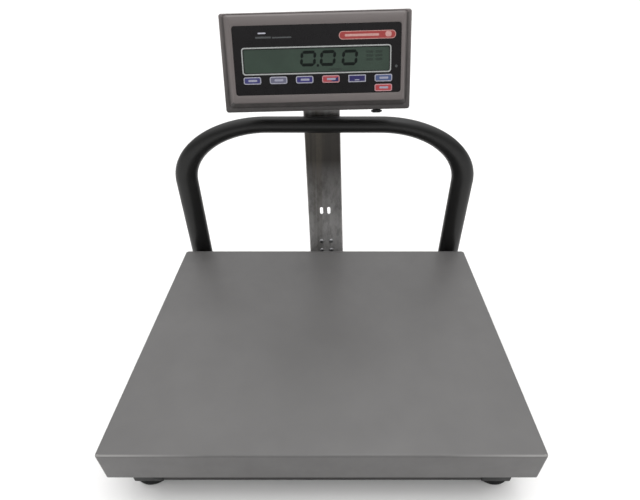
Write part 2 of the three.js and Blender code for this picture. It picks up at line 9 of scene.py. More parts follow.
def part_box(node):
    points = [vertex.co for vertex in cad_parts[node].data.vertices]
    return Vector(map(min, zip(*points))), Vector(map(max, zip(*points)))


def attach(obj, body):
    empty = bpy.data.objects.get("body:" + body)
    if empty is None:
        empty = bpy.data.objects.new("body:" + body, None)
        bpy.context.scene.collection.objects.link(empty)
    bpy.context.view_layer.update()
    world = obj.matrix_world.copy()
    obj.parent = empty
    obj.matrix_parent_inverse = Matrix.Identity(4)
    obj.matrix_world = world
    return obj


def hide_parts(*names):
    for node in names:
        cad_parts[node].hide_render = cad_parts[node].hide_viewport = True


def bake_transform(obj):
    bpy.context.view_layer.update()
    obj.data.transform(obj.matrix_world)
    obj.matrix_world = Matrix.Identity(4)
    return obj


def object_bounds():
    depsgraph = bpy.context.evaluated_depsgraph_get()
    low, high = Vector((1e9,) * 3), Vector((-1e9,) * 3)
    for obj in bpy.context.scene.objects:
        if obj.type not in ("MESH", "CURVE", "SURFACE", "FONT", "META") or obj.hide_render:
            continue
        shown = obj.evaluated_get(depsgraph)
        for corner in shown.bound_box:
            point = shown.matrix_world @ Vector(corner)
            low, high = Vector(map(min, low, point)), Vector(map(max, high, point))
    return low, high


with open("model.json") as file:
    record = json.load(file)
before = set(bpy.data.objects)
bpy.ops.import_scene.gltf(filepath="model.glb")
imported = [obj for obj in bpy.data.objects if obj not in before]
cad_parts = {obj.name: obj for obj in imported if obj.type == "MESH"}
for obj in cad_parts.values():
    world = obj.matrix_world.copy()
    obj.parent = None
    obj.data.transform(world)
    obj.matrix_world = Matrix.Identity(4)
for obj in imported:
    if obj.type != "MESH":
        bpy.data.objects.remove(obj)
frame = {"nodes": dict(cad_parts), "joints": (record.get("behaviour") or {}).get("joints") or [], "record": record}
cad_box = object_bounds()

MM = 0.001
joints = {joint["name"]: joint for joint in frame["joints"]}
slot_of = {part["node"]: part["material_slot"] for part in frame["record"]["subparts"]}
body_of = {node: body for body, nodes in frame["record"]["behaviour"]["bodies"].items() for node in nodes}
CORNERS = ("fl", "fr", "rl", "rr")

# Dimensions in millimetres, as the CAD part has them
PAN_SHEET = 1.5
PAN_BEND = 3.0
PAN_CORNER = 4.0
PAN_HEM = 6.0
RAIL = {"tube": 12.3, "bend": 96.0, "widen": 1.48}
HINGE_X = 3.0
HINGE_DEPTH = 50.0
HEAD = {"width": 250.0, "height": 122.0, "front": 12.0, "depth": 36.0, "wall": 2.5, "corner": 3.5}
OVERLAY = {"x": 1.8, "z": 1.6, "width": 217.0, "height": 83.2, "front": -11.7}
LCD = {"x": 0.7, "z": 1.2, "width": 190.0, "height": 29.0, "front": -11.2}
KEY = {"width": 23.0, "height": 9.0}
REAR_PLATE = {"x": -58.0, "z": 2.0, "width": 50.0, "height": 30.0}
COVER_SCREWS = {"x": 100.0, "z": 38.0}
FRAME_BAR = 30.0
FOOT_COLLAR = {"low": 14.0, "high": 19.0, "radius": 8.1}
THREAD_PITCH = 1.5
TIE_HEIGHTS = (130.0, 290.0)
COLUMN_X = 2.2
MAST_PIVOT_Z = 85.0

# The camera, in metres from the middle of the pan's top, and in degrees and millimetres of lens
CAMERA = {"offset": (0.010, -0.4368, 0.4609), "down": 36.24, "lens": 24.265, "shift": -0.0166}


# ---- frames of reference

def head_frame():
    """Millimetres to the row frame: X right, Y into the head, Z up the face, Y = 0 at the housing's seam."""
    right = Vector(joints["head_tilt"]["axis"])
    inward = Vector(joints["key_press_1"]["axis"])
    up = right.cross(inward)
    origin = Vector(joints["head_tilt"]["pos_m"]) - (right * HINGE_X + inward * HINGE_DEPTH) * MM
    turn = Matrix((right, inward, up)).transposed().to_4x4()
    return Matrix.Translation(origin) @ turn @ Matrix.Scale(MM, 4)


def mast_frame():
    """Millimetres to the row frame: X from the column's centre line, Y as the row frame, Z the height."""
    right = Vector(joints["head_tilt"]["axis"])
    back = Vector((0, 1, 0))
    up = right.cross(back)
    turn = Matrix((right, back, up)).transposed().to_4x4()
    pivot = Matrix.Translation((COLUMN_X * MM, 0, MAST_PIVOT_Z * MM))
    return pivot @ turn @ Matrix.Scale(MM, 4) @ Matrix.Translation((0, 0, -MAST_PIVOT_Z))


FACE = head_frame()
MAST = mast_frame()
ROW = Matrix.Scale(MM, 4)
TO_FACE, TO_MM = FACE.inverted(), ROW.inverted()
ON_AXIS = 1e-4


def box_mm(node):
    low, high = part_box(node)
    return low / MM, high / MM


# ---- mesh helpers

def ring_2d(width, height, radius, steps=8, x=0.0, y=0.0):
    """A rounded rectangle, counter-clockwise from its right side's top corner."""
    points = []
    for corner, (sx, sy) in enumerate(((1, 1), (-1, 1), (-1, -1), (1, -1))):
        for i in range(steps + 1):
            angle = (corner + i / steps) * math.pi / 2
            u = x + sx * (width / 2 - radius) + radius * math.cos(angle)
            v = y + sy * (height / 2 - radius) + radius * math.sin(angle)
            points.append((u, v))
    return points


def facing(points, depth):
    """Outline points as X and Z, at one depth."""
    return [(u, depth, v) for u, v in points]


def level(points, z):
    return [(u, v, z) for u, v in points]


def skin(bm, rings, closed=False):
    """Faces through rings of equally many points. Both ends are capped, or joined to each other if closed."""
    loops = [[bm.verts.new(point) for point in ring] for ring in rings]
    pairs = list(zip(loops, loops[1:]))
    if closed:
        pairs.append((loops[-1], loops[0]))
    made = []
    for lower, upper in pairs:
        for i in range(len(lower)):
            j = (i + 1) % len(lower)
            made.append(bm.faces.new((lower[i], lower[j], upper[j], upper[i])))
    if not closed:
        made += [bm.faces.new(list(reversed(loops[0]))), bm.faces.new(loops[-1])]
    bmesh.ops.recalc_face_normals(bm, faces=made)


def rounded_slab(bm, x, z, width, height, radius, front, back, bevel=0.2, steps=6):
    """A plate facing the front, with a soft edge towards it."""
    outline = ring_2d(width, height, radius, steps, x, z)
    inner = ring_2d(width - 2 * bevel, height - 2 * bevel, max(radius - bevel, 0.05), steps, x, z)
    skin(bm, [facing(outline, back), facing(outline, front + bevel), facing(inner, front)])


def circle(radius, segments):
    return [(radius * math.cos(i / segments * 2 * math.pi), radius * math.sin(i / segments * 2 * math.pi))
            for i in range(segments)]


def turned(profile, segments, centre=(0, 0, 0), closed=False):
    """A new shape: (radius, height) points turned about a vertical line, on which an open profile starts."""
    bm = bmesh.new()
    skin(bm, [level(circle(max(radius, ON_AXIS), segments), height) for radius, height in profile], closed)
    if not closed:
        bmesh.ops.remove_doubles(bm, verts=bm.verts, dist=10 * ON_AXIS)
    bmesh.ops.translate(bm, verts=bm.verts, vec=centre)
    return bm


def tube(bm, path, section):
    """Sweeps a ring of (across, up) offsets along a path, with frames carried along the path."""
    rings = []
    normal = None
    for i, point in enumerate(path):
        here = Vector(point)
        direction = heading(path, i)
        if normal is None:
            seed = Vector((0, 1, 0)) if abs(direction.y) < 0.9 else Vector((1, 0, 0))
            normal = direction.cross(seed).normalized()
        normal = (normal - direction * normal.dot(direction)).normalized()
        other = direction.cross(normal)
        rings.append([here + normal * a + other * b for a, b in section])
    skin(bm, rings)


def heading(path, i):
    """The direction of a path at one of its points."""
    return (Vector(path[min(i + 1, len(path) - 1)]) - Vector(path[max(i - 1, 0)])).normalized()


def weld_bead(bm, path, radius, sides=8):
    """A bead whose thickness ripples from one point of its path to the next."""
    rings = []
    for i, point in enumerate(path):
        along = heading(path, i)
        first = along.orthogonal().normalized()
        second = along.cross(first)
        swell = radius * (1.0 + 0.16 * math.sin(i * 2.4) + 0.07 * math.sin(i * 5.1))
        rings.append([Vector(point) + first * a + second * b for a, b in circle(swell, sides)])
    skin(bm, rings)


def line_path(start, end, step):
    start, end = Vector(start), Vector(end)
    count = max(2, int((end - start).length / step))
    return [start.lerp(end, i / count) for i in range(count + 1)]


def smooth_curve(points, steps):
    """A Catmull-Rom line through given points."""
    line = []
    padded = [points[0], *points, points[-1]]
    for a, b, c, d in zip(padded, padded[1:], padded[2:], padded[3:]):
        a, b, c, d = (Vector(p) for p in (a, b, c, d))
        for i in range(steps):
            t = i / steps
            line.append(0.5 * (2 * b + (c - a) * t + (2 * a - 5 * b + 4 * c - d) * t ** 2
                               + (3 * b - a - 3 * c + d) * t ** 3))
    line.append(Vector(points[-1]))
    return line


def add_object(name, data):
    obj = bpy.data.objects.new(name, data)
    bpy.context.scene.collection.objects.link(obj)
    return obj


def to_object(bm, name, matrix=ROW, angle=35.0):
    """A finished mesh object at the origin, its place in its vertices, smooth below an angle."""
    bmesh.ops.transform(bm, matrix=matrix, verts=bm.verts)
    mesh = bpy.data.meshes.new(name)
    bm.to_mesh(mesh)
    bm.free()
    mesh.polygons.foreach_set("use_smooth", [True] * len(mesh.polygons))
    mesh.set_sharp_from_angle(angle=math.radians(angle))
    return add_object(name, mesh)


def bake_modifiers(obj):
    graph = bpy.context.evaluated_depsgraph_get()
    mesh = bpy.data.meshes.new_from_object(obj.evaluated_get(graph))
    obj.modifiers.clear()
    obj.data = mesh


def boolean(obj, tool, operation):
    """Cuts or joins with another mesh, which is used up."""
    modifier = obj.modifiers.new("cut", "BOOLEAN")
    modifier.operation = operation
    modifier.object = tool
    modifier.solver = "EXACT"
    bake_modifiers(obj)
    bpy.data.objects.remove(tool)


def finish(obj, body, material, slot, *nodes):
    """Gives a piece its material and body, and hides the CAD nodes that it stands for. The slot argument is not
    used.
    """
    obj.data.materials.clear()
    obj.data.materials.append(material)
    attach(obj, body)
    if nodes:
        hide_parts(*nodes)
    return obj


def stand_in(obj, node, material):
    """A refined piece for one CAD node."""
    return finish(obj, body_of[node], material, slot_of[node], node)


def trim(bm, name, body, slot, material=None, matrix=ROW):
    """A detail that CAD doesn't carry, with its slot's own material unless another is given."""
    finish(to_object(bm, name, matrix), body, material or LOOKS[slot], slot)


def head_trim(bm, name, slot, material=None):
    trim(bm, name, "indicator_head", slot, material, FACE)


def edged_copy(node, width, material, segments=2):
    """The CAD node's shape with merged flat faces and broken edges."""
    bm = bmesh.new()
    bm.from_mesh(frame["nodes"][node].data)
    bmesh.ops.remove_doubles(bm, verts=bm.verts, dist=2e-6)
    bmesh.ops.dissolve_limit(bm, angle_limit=math.radians(1.0), verts=bm.verts, edges=bm.edges)
    obj = to_object(bm, f"{node}_edged", Matrix.Identity(4), 40.0)
    modifier = obj.modifiers.new("edge", "BEVEL")
    modifier.width = width * MM
    modifier.segments = segments
    modifier.limit_method = "ANGLE"
    modifier.angle_limit = math.radians(40.0)
    modifier.harden_normals = True
    bake_modifiers(obj)
    return stand_in(obj, node, material)


# ---- material helpers

class Look:
    """A node material under construction: one principled shader with textures in the row frame's metres."""

    def __init__(self, name, roughness=0.5, metallic=0.0, specular=0.5):
        self.material = bpy.data.materials.new(name)
        self.material.use_nodes = True
        self.tree = self.material.node_tree
        self.shader = self.tree.nodes["Principled BSDF"]
        self.shader.inputs["Roughness"].default_value = roughness
        self.shader.inputs["Metallic"].default_value = metallic
        self.shader.inputs["Specular IOR Level"].default_value = specular
        self.coordinates = self.tree.nodes.new("ShaderNodeTexCoord").outputs["Object"]
        self.height = None

    def link(self, output, target):
        self.tree.links.new(output, target)

    def noise(self, scale, detail=2.0, rough=0.5, seed=0.0):
        """Noise with features about 1 / scale metres across; scale may differ by axis."""
        mapping = self.tree.nodes.new("ShaderNodeMapping")
        mapping.inputs["Scale"].default_value = scale if isinstance(scale, tuple) else (scale,) * 3
        mapping.inputs["Location"].default_value = (seed, seed * 0.7, seed * 1.3)
        texture = self.tree.nodes.new("ShaderNodeTexNoise")
        texture.inputs["Scale"].default_value = 1.0
        texture.inputs["Detail"].default_value = detail
        texture.inputs["Roughness"].default_value = rough
        self.link(self.coordinates, mapping.inputs["Vector"])
        self.link(mapping.outputs["Vector"], texture.inputs["Vector"])
        return texture.outputs["Fac"]

    def coordinate(self, axis, absolute=False):
        """One coordinate in the row frame's metres, or its distance from zero."""
        split = self.tree.nodes.new("ShaderNodeSeparateXYZ")
        self.link(self.coordinates, split.inputs["Vector"])
        return self.math("ABSOLUTE", split.outputs[axis]) if absolute else split.outputs[axis]

    def attribute(self, name):
        """A number that the mesh code has written on the piece's points."""
        node = self.tree.nodes.new("ShaderNodeAttribute")
        node.attribute_name = name
        return node.outputs["Fac"]

    def ramp(self, factor, low, high, start=0.35, end=0.65):
        """A number or colour that goes from low to high as the factor goes from start to end."""
        spread = self.tree.nodes.new("ShaderNodeMapRange")
        self.link(factor, spread.inputs["Value"])
        spread.inputs["From Min"].default_value = start
        spread.inputs["From Max"].default_value = end
        if not isinstance(low, tuple):
            spread.inputs["To Min"].default_value = low
            spread.inputs["To Max"].default_value = high
            return spread.outputs["Result"]
        mix = self.mix(spread.outputs["Result"])
        mix.inputs["A"].default_value = (*low, 1.0)
        mix.inputs["B"].default_value = (*high, 1.0)
        return mix.outputs["Result"]

    def mix(self, factor):
        node = self.tree.nodes.new("ShaderNodeMix")
        node.data_type = "RGBA"
        self.link(factor, node.inputs["Factor"])
        return node

    def math(self, operation, *outputs):
        node = self.tree.nodes.new("ShaderNodeMath")
        node.operation = operation
        for output, target in zip(outputs, node.inputs):
            self.link(output, target)
        return node.outputs[0]

    def product(self, a, b):
        return self.math("MULTIPLY", a, b)

    def over(self, base, factor, colour):
        """Lays a colour over base where the factor is high."""
        mix = self.mix(factor)
        self.link(base, mix.inputs["A"])
        mix.inputs["B"].default_value = (*colour, 1.0)
        return mix.outputs["Result"]

    def colour(self, output):
        self.link(output, self.shader.inputs["Base Color"])

    def roughness(self, output):
        self.link(output, self.shader.inputs["Roughness"])

    def bump(self, output, depth_mm):
        """Adds relief, chained after any earlier relief."""
        node = self.tree.nodes.new("ShaderNodeBump")
        node.inputs["Strength"].default_value = 1.0
        node.inputs["Distance"].default_value = depth_mm * MM
        self.link(output, node.inputs["Height"])
        if self.height is not None:
            self.link(self.height, node.inputs["Normal"])
        self.height = node.outputs["Normal"]
        self.link(self.height, self.shader.inputs["Normal"])


def shade(colour, factor):
    return tuple(min(1.0, value * factor) for value in colour)


def powder_coat(name, colour, roughness, specular=0.5, depth=0.02, rub_and_highlight=None):
    """Sprayed and baked coating: fine orange peel, faint cloudiness, and, where the mesh's rub attribute is high
    towards the corners, a paler colour that is partly edge wear and partly a painted highlight.
    """
    look = Look(name, roughness, specular=specular)
    base = look.ramp(look.noise(9.0, 4.0, 0.6), shade(colour, 0.95), shade(colour, 1.05))
    if rub_and_highlight:
        towards_corners = look.ramp(look.coordinate("X", absolute=True), 0.1, 1.0, 0.13, 0.23)
        base = look.over(base, look.product(look.attribute("wear_and_highlight"), towards_corners), rub_and_highlight)
    look.colour(base)
    look.roughness(look.ramp(look.noise(30.0, 5.0, 0.7, 3.1), roughness - 0.06, roughness + 0.06))
    look.bump(look.noise(520.0, 2.0, 0.5, 1.7), depth)
    look.bump(look.noise(2100.0, 2.0, 0.5, 4.2), depth * 0.4)
    return look.material


def moulded_plastic(name, colour, roughness, painted_shade_colour=None):
    """Spark-eroded moulding texture with slight flow marks, and a painted shade colour laid over it in patches
    where the mesh's shade attribute is high.
    """
    look = Look(name, roughness, specular=0.4)
    flow = look.noise((14.0, 14.0, 40.0), 3.0, 0.6)
    base = look.ramp(flow, shade(colour, 0.96), shade(colour, 1.04))
    if painted_shade_colour:
        patches = look.ramp(look.noise(90.0, 4.0, 0.7, 6.0), 0.85, 1.0, 0.35, 0.6)
        base = look.over(base, look.product(look.attribute("painted_shade"), patches), painted_shade_colour)
    look.colour(base)
    look.roughness(look.ramp(look.noise(60.0, 4.0, 0.6, 2.0), roughness - 0.05, roughness + 0.05))
    look.bump(look.noise(1500.0, 3.0, 0.6, 5.0), 0.03)
    return look.material


def machined_metal(name, colour, roughness):
    """Metal with a grain along Y and soft bands across it."""
    fine, band = (2600.0, 18.0, 2600.0), (70.0, 0.8, 70.0)
    look = Look(name, roughness, metallic=1.0)
    look.colour(look.ramp(look.noise(band, 2.0, 0.5, 8.0), shade(colour, 0.86), shade(colour, 1.1), 0.3, 0.7))
    look.roughness(look.ramp(look.noise(fine, 3.0, 0.7, 1.0), roughness - 0.08, roughness + 0.1))
    look.bump(look.noise(fine, 3.0, 0.7, 2.0), 0.006)
    return look.material


def column_look():
    """Bare rolled steel: brown streaks down its left half, stains, and painted light on its front: pale at its
    foot as a painted reflection of the pan, dark above it as painted shade, and paler again just under the head as
    painted light.
    """
    # The bright tone is the steel and also the painted reflection at the foot; the dark tone is painted shade and
    # also the stains' colour.
    bright, shade_and_stain, brown = (0.76, 0.75, 0.745), (0.040, 0.037, 0.034), (0.12, 0.105, 0.082)
    look = Look("rolled_steel", 0.42, metallic=0.6)
    low, high = box_mm("column")
    front, middle = low.y * MM, (low.x + high.x) / 2 * MM
    # Painted shade and reflection by height on the front: pale at the foot, dark from 0.26 m up, and half as dark
    # above 0.34 m as painted light under the head.
    rising = look.ramp(look.coordinate("Z"), 0.0, 1.0, 0.09, 0.26)
    neck_painted_light = look.ramp(look.coordinate("Z"), 1.0, 0.5, 0.31, 0.34)
    height = look.product(rising, neck_painted_light)
    on_front = look.ramp(look.coordinate("Y"), 1.0, 0.3, front + 0.0008, front + 0.0018)
    base = look.ramp(look.product(height, on_front), bright, shade_and_stain, 0.0, 1.0)
    to_left = look.ramp(look.coordinate("X"), 0.75, 0.1, middle - 0.012, middle + 0.008)
    streaks = look.ramp(look.noise((110.0, 110.0, 1.6), 3.0, 0.6, 8.0), 0.15, 0.9, 0.38, 0.62)
    base = look.over(base, look.product(streaks, to_left), brown)
    stains = look.ramp(look.noise((75.0, 75.0, 32.0), 5.0, 0.75, 4.0), 0.0, 0.45, 0.45, 0.66)
    base = look.over(base, look.product(stains, on_front), shade_and_stain)
    look.colour(base)
    fine = look.noise((2600.0, 2600.0, 18.0), 3.0, 0.7, 1.0)
    look.roughness(look.ramp(fine, 0.34, 0.52))
    look.bump(fine, 0.006)
    return look.material


def plated_metal(name, colour, roughness):
    """Zinc plating with cloudy patches and a fine grain."""
    look = Look(name, roughness, metallic=1.0)
    look.colour(look.ramp(look.noise(160.0, 4.0, 0.7), shade(colour, 0.8), shade(colour, 1.08)))
    look.roughness(look.ramp(look.noise(420.0, 4.0, 0.7, 3.0), roughness - 0.08, roughness + 0.14))
    look.bump(look.noise(900.0, 2.0, 0.5, 6.0), 0.008)
    return look.material


def rubber_look(name, colour, roughness):
    """Matt rubber with a little dust on it."""
    look = Look(name, roughness, specular=0.3)
    dust = look.noise(70.0, 5.0, 0.7)
    look.colour(look.ramp(dust, colour, shade(colour, 1.9), 0.45, 0.8))
    look.bump(look.noise(1300.0, 3.0, 0.6, 2.5), 0.03)
    return look.material


def film_look(name, colour, roughness, specular):
    """Printed polyester film with a very fine texture."""
    look = Look(name, roughness, specular=specular)
    look.colour(look.ramp(look.noise(25.0, 3.0, 0.5), shade(colour, 0.92), shade(colour, 1.1)))
    look.roughness(look.ramp(look.noise(90.0, 4.0, 0.6, 1.0), roughness - 0.04, roughness + 0.05))
    look.bump(look.noise(2600.0, 2.0, 0.5, 3.0), 0.004)
    return look.material


def ink_look(name, colour, roughness=0.4, specular=0.4):
    """Screen-printed ink: slightly uneven, with a faint grain."""
    look = Look(name, roughness, specular=specular)
    look.colour(look.ramp(look.noise(500.0, 3.0, 0.6), shade(colour, 0.9), shade(colour, 1.08)))
    look.bump(look.noise(3200.0, 2.0, 0.5, 3.0), 0.003)
    return look.material


def board_look():
    look = Look("circuit_board", 0.35)
    look.colour(look.ramp(look.noise(260.0, 2.0, 0.4), (0.010, 0.09, 0.03), (0.016, 0.14, 0.05), 0.45, 0.55))
    look.bump(look.noise(400.0, 2.0, 0.5, 4.0), 0.02)
    return look.material


def floor_look():
    look = Look("pale_floor", 0.75, specular=0.25)
    look.colour(look.ramp(look.noise(2.0, 3.0, 0.5), (0.86, 0.855, 0.85), (0.90, 0.895, 0.89)))
    look.bump(look.noise(300.0, 3.0, 0.5), 0.02)
    return look.material


LOOKS = {
    # The pan's paler second colour is partly edge wear and partly a painted highlight on the front bend.
    "pan_paint": powder_coat("grey_powder_coat", (0.095, 0.0925, 0.0915), 0.42, rub_and_highlight=(0.24, 0.235, 0.23)),
    "rail_paint": powder_coat("black_powder_coat", (0.007, 0.007, 0.0068), 0.34, depth=0.012, specular=0.32),
    "base_paint": powder_coat("dark_powder_coat", (0.011, 0.010, 0.009), 0.5, specular=0.35),
    "column_steel": column_look(),
    "zinc_steel": plated_metal("zinc_plate", (0.55, 0.56, 0.57), 0.32),
    "aluminium": machined_metal("machined_aluminium", (0.72, 0.73, 0.74), 0.34),
    "rubber": rubber_look("black_rubber", (0.012, 0.012, 0.012), 0.82),
    "cable_jacket": rubber_look("cable_jacket", (0.016, 0.016, 0.017), 0.6),
    "head_plastic": moulded_plastic("grey_plastic", (0.138, 0.121, 0.118), 0.55),
    # The bezel's extra dark colour is painted shade on its lower chamfer and in its groove.
    "bezel_plastic": moulded_plastic("grey_bezel_plastic", (0.138, 0.121, 0.118), 0.55, (0.05, 0.046, 0.045)),
    "overlay_film": film_look("overlay_film", (0.0045, 0.0038, 0.0045), 0.28, 0.3),
    "display_glass": film_look("display_glass", (0.030, 0.049, 0.036), 0.22, 0.45),
    "board_green": board_look(),
    "battery_case": moulded_plastic("battery_case", (0.03, 0.03, 0.032), 0.5),
}
KEY_COLOURS = (
    (0.040, 0.040, 0.150), (0.115, 0.115, 0.170), (0.030, 0.025, 0.140), (0.330, 0.045, 0.055),
    (0.018, 0.014, 0.090), (0.060, 0.085, 0.190), (0.370, 0.045, 0.050),
)
KEY_INKS = [ink_look(f"key_ink_{i + 1}", colour) for i, colour in enumerate(KEY_COLOURS)]
KEY_RIM = ink_look("key_rim_ink", (0.34, 0.34, 0.40))
KEY_LABEL = ink_look("key_label_ink", (0.30, 0.30, 0.38))
KEY_RIM_RED = ink_look("key_rim_red_ink", (0.46, 0.24, 0.26))
LABEL_INK = ink_look("label_ink", (0.42, 0.42, 0.48))
PINK_INK = ink_look("pink_ink", (0.50, 0.27, 0.25))
DIM_INK = ink_look("dim_ink", (0.060, 0.064, 0.066))
RED_INK = ink_look("red_ink", (0.30, 0.040, 0.038))
SILVER_INK = ink_look("silver_ink", (0.34, 0.35, 0.345), 0.35)
SEGMENT_INK = ink_look("segment_ink", (0.0055, 0.0085, 0.0070), 0.35, 0.12)
FAINT_SEGMENT = ink_look("faint_segment", (0.019, 0.031, 0.023), 0.3)
PLATE_INK = ink_look("plate_ink", (0.38, 0.385, 0.39), 0.4)
CAP_PLASTIC = moulded_plastic("cap_plastic", (0.009, 0.009, 0.009), 0.6)


# ---- pan

def pan_shell():
    """One folded sheet with rounded bends, a thin wall, a small hem and an open underside."""
    low, high = box_mm("pan")
    centre = (low + high) / 2
    width, depth = high.x - low.x, high.y - low.y

    def ring(inset, z, radius):
        return level(ring_2d(width - 2 * inset, depth - 2 * inset, radius, 8, centre.x, centre.y), z)

    outer = [ring(PAN_SHEET * 0.6, low.z, PAN_BEND), ring(0.0, low.z + PAN_SHEET * 0.6, PAN_BEND)]
    steps = 8
    for i in range(steps + 1):
        angle = i / steps * math.pi / 2
        inset = PAN_BEND * (1 - math.cos(angle))
        outer.append(ring(inset, high.z - PAN_BEND + PAN_BEND * math.sin(angle), PAN_CORNER))
    inner = [
        ring(PAN_SHEET + PAN_HEM, low.z, 0.5), ring(PAN_SHEET + PAN_HEM, low.z + PAN_SHEET, 0.5),
        ring(PAN_SHEET, low.z + PAN_SHEET, 1.5), ring(PAN_SHEET, high.z - PAN_BEND, 1.5),
        ring(PAN_BEND, high.z - PAN_SHEET, 0.5),
    ]
    bm = bmesh.new()
    skin(bm, [*reversed(inner), *outer])
    obj = to_object(bm, "pan_sheet", angle=30.0)
    # Paler rub along the front bend: partly edge wear, partly a painted highlight where light catches the bend.
    wear_and_highlight = obj.data.attributes.new("wear_and_highlight", "FLOAT", "POINT")
    for vertex, value in zip(obj.data.vertices, wear_and_highlight.data):
        height = vertex.co.z / MM - (high.z - PAN_BEND)
        on_front = vertex.co.y / MM < low.y + PAN_BEND
        value.value = 1.0 if on_front and 0.5 * PAN_BEND < height < 0.95 * PAN_BEND else 0.0
    stand_in(obj, "pan", LOOKS["pan_paint"])


def pan_corner_seams():
    """The ground weld down each folded corner."""
    low, high = box_mm("pan")
    inset = PAN_CORNER * (1 - math.sqrt(0.5)) + 0.25
    bm = bmesh.new()
    for x, y in ((low.x + inset, low.y + inset), (high.x - inset, low.y + inset),
                 (low.x + inset, high.y - inset), (high.x - inset, high.y - inset)):
        path = [(x, y, low.z + 1.5 + i * 1.5) for i in range(int((high.z - low.z - 6) / 1.5))]
        weld_bead(bm, path, 0.42, 5)
    trim(bm, "pan_corner_seams", body_of["pan"], slot_of["pan"])


# ---- guard rail

def arch_path(arc_steps=36, leg_steps=6):
    """The tube's centre line before it is widened, from the left foot to the right."""
    low, high = box_mm("guard_rail")
    y = (low.y + high.y) / 2
    leg_x = high.x / RAIL["widen"] - RAIL["tube"]
    top = high.z - RAIL["tube"]
    bend = RAIL["bend"]
    half = [(leg_x, y, low.z + i / leg_steps * (top - bend - low.z)) for i in range(leg_steps)]
    for i in range(arc_steps + 1):
        angle = i / arc_steps * math.pi / 2
        half.append((leg_x - bend * (1 - math.cos(angle)), y, top - bend * (1 - math.sin(angle))))
    left = [(-x, y, z) for x, y, z in half]
    return left + list(reversed(half))


def guard_rail():
    bm = bmesh.new()
    tube(bm, arch_path(), circle(RAIL["tube"], 40))
    bmesh.ops.transform(bm, matrix=Matrix.Diagonal((RAIL["widen"], 1, 1, 1)), verts=bm.verts)
    stand_in(to_object(bm, "rail_tube"), "guard_rail", LOOKS["rail_paint"])

    low, high = box_mm("guard_rail")
    y = (low.y + high.y) / 2
    across = RAIL["tube"] * RAIL["widen"]
    for side, x in (("left", low.x + across), ("right", high.x - across)):
        bm = bmesh.new()
        around = circle(1.0, 44)
        path = [(x + (across + 0.8) * a, y + (RAIL["tube"] + 0.8) * b, low.z + 0.9)
                for a, b in (*around, around[0])]
        weld_bead(bm, path, 1.7)
        trim(bm, f"rail_weld_{side}", "base", "rail_paint")


# ---- head housing

def inset_box(ring, amount, depth):
    """A ring (width, height, corner, x, z) made smaller on all sides, at one depth."""
    width, height, corner, x, z = ring
    corner = max(corner - amount, 0.6)
    return facing(ring_2d(width - 2 * amount, height - 2 * amount, corner, 8, x, z), depth)


def bezel():
    """A frame round the face: outer lip, groove, raised rim, a recess for the overlay, and a thin wall."""
    front = -HEAD["front"]
    seam = (HEAD["width"], HEAD["height"], HEAD["corner"], 0.0, 0.0)
    foot = (236.0, 112.6, 3.2, 0.0, 1.95)
    rim = (224.8, 104.0, 3.0, 1.8, 2.6)
    recess = (OVERLAY["width"] + 0.8, OVERLAY["height"] + 0.8, 3.4, OVERLAY["x"], OVERLAY["z"])
    ledge = 4.0

    def groove(inset, top, depth):
        bottom = inset - HEAD["height"] / 2
        return inset_box((HEAD["width"] - 2 * inset, top - bottom, 3.0, 0.0, (top + bottom) / 2), 0.0, depth)

    def slope(share, depth):
        return inset_box(tuple(a + (b - a) * share for a, b in zip(foot, rim)), 0.0, depth)

    lip = ((0.0, 0.0), (0.4, -1.2), (0.8, -2.4), (1.6, -3.4))
    steps = ((-0.5, 0.0), (-0.12, 0.15), (0.0, 0.6), (0.0, 1.3), (ledge, 1.3), (ledge, HEAD["wall"]))
    inside = ((8.6, -2.4), (HEAD["wall"], -1.6), (HEAD["wall"], 0.0))
    rings = [
        *(inset_box(seam, inset, depth) for inset, depth in lip),
        groove(4.6, 58.9, -4.6), groove(5.6, 58.7, -4.4), groove(6.2, 58.5, -3.9),
        slope(0.0, -4.2), slope(0.12, -5.2), slope(0.8, front + 1.9), slope(0.95, front + 0.6),
        inset_box(rim, 0.7, front),
        *(inset_box(recess, inset, front + depth) for inset, depth in steps),
        inset_box(rim, HEAD["wall"], front + HEAD["wall"]),
        *(inset_box(seam, inset, depth) for inset, depth in inside),
    ]
    bm = bmesh.new()
    skin(bm, rings, closed=True)
    # Painted shade: the downward lower chamfer and the groove get a darker colour that stands in for the shade
    # falling there.
    below = -HEAD["height"] / 2 + 13.0
    painted_shade = []
    for vert in bm.verts:
        on_chamfer = vert.co.z < below and vert.co.y > front + 1.5
        in_groove = -4.7 < vert.co.y < -3.8 and vert.co.z < 56.0
        painted_shade.append(1.0 if on_chamfer else 0.7 if in_groove else 0.0)
    obj = to_object(bm, "bezel_frame", FACE)
    obj.data.attributes.new("painted_shade", "FLOAT", "POINT").data.foreach_set("value", painted_shade)
    stand_in(obj, "front_bezel", LOOKS["bezel_plastic"])


def rear_cover():
    """The deeper half of the housing, with its lugs, cable hole, jack hole and rocker opening."""
    edged_copy("rear_shell", 0.6, LOOKS["head_plastic"], 3).name = "rear_cover"


# ---- face of the head

def overlay_sheet():
    edged_copy("overlay", 0.12, LOOKS["overlay_film"], 1)


def face_piece(name, material, *slabs):
    """Small raised marks of one colour on the face, each (x, z, width, height, radius, front, back)."""
    bm = bmesh.new()
    for mark in slabs:
        rounded_slab(bm, *mark, bevel=0.08)
    head_trim(bm, name, "overlay_film", material)


